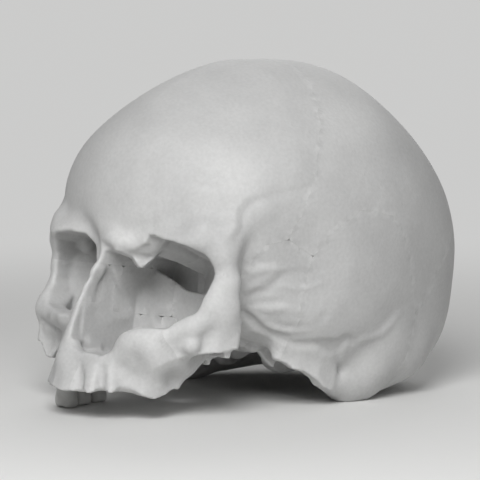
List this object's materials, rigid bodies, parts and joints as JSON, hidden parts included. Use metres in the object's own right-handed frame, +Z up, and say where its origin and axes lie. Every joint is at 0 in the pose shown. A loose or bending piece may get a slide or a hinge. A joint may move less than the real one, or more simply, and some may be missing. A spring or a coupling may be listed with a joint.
{
  "type": "anatomical skull model",
  "caption": "Life-size classroom cranium without a lower jaw, sawn along its sutures into bones that pin together and slide apart for study.",
  "frame": {"origin": "centre of the bounding box on the table that the skull rests on, with its right back teeth and both mastoids down", "axes": "+Z up, +Y to the back of the head so that the face looks along -Y, +X to the skull's own left"},
  "size_m": [0.1404, 0.2038, 0.1426],
  "materials": {
    "cast_plastic": "matte grey, uncoloured cast",
    "tooth_plastic": "matte grey, slightly smoother than the bone",
    "steel": "plain ground dowel"
  },
  "bodies": {
    "skull_base": {"sphenoid": "cast_plastic", "ethmoid": "cast_plastic", "palatine_left": "cast_plastic", "palatine_right": "cast_plastic", "clivus_pin": "steel", "petrous_pin_left": "steel", "petrous_pin_right": "steel", "pterygoid_pin_left": "steel", "pterygoid_pin_right": "steel", "frontal_pin_left": "steel", "frontal_pin_right": "steel"},
    "forehead": {"frontal": "cast_plastic"},
    "left_parietal": {"parietal_left": "cast_plastic"},
    "right_parietal": {"parietal_right": "cast_plastic", "sagittal_pin_front": "steel", "sagittal_pin_rear": "steel"},
    "back_of_head": {"occipital": "cast_plastic"},
    "left_temporal": {"temporal_left": "cast_plastic"},
    "right_temporal": {"temporal_right": "cast_plastic"},
    "left_upper_jaw": {"maxilla_left": "cast_plastic", "zygomatic_pin_left": "steel"},
    "right_upper_jaw": {"maxilla_right": "cast_plastic", "nasal_bone_right": "cast_plastic", "premolar_right": "tooth_plastic", "first_molar_right": "tooth_plastic", "second_molar_right": "tooth_plastic", "zygomatic_pin_right": "steel"},
    "left_cheek": {"zygomatic_left": "cast_plastic"},
    "right_cheek": {"zygomatic_right": "cast_plastic"}
  },
  "joints": [
    {"name": "frontal_slide", "type": "slide", "parent": "skull_base", "child": "forehead", "axis": [0, -0.9899, 0.1418], "range_m": [0, 0.02]},
    {"name": "parietal_left_slide", "type": "slide", "parent": "skull_base", "child": "left_parietal", "axis": [1, 0, 0], "range_m": [0, 0.02]},
    {"name": "parietal_right_slide", "type": "slide", "parent": "skull_base", "child": "right_parietal", "axis": [-1, 0, 0], "range_m": [0, 0.02]},
    {"name": "occipital_slide", "type": "slide", "parent": "skull_base", "child": "back_of_head", "axis": [0, 0.9899, -0.1418], "range_m": [0, 0.02]},
    {"name": "temporal_left_slide", "type": "slide", "parent": "skull_base", "child": "left_temporal", "axis": [1, 0, 0], "range_m": [0, 0.02]},
    {"name": "temporal_right_slide", "type": "slide", "parent": "skull_base", "child": "right_temporal", "axis": [-1, 0, 0], "range_m": [0, 0.02]},
    {"name": "maxilla_left_slide", "type": "slide", "parent": "skull_base", "child": "left_upper_jaw", "axis": [0, -0.9899, 0.1418], "range_m": [0, 0.02]},
    {"name": "maxilla_right_slide", "type": "slide", "parent": "skull_base", "child": "right_upper_jaw", "axis": [0, -0.9899, 0.1418], "range_m": [0, 0.02]},
    {"name": "zygomatic_left_slide", "type": "slide", "parent": "left_upper_jaw", "child": "left_cheek", "axis": [1, 0, 0], "range_m": [0, 0.02]},
    {"name": "zygomatic_right_slide", "type": "slide", "parent": "right_upper_jaw", "child": "right_cheek", "axis": [-1, 0, 0], "range_m": [0, 0.02]}
  ]
}
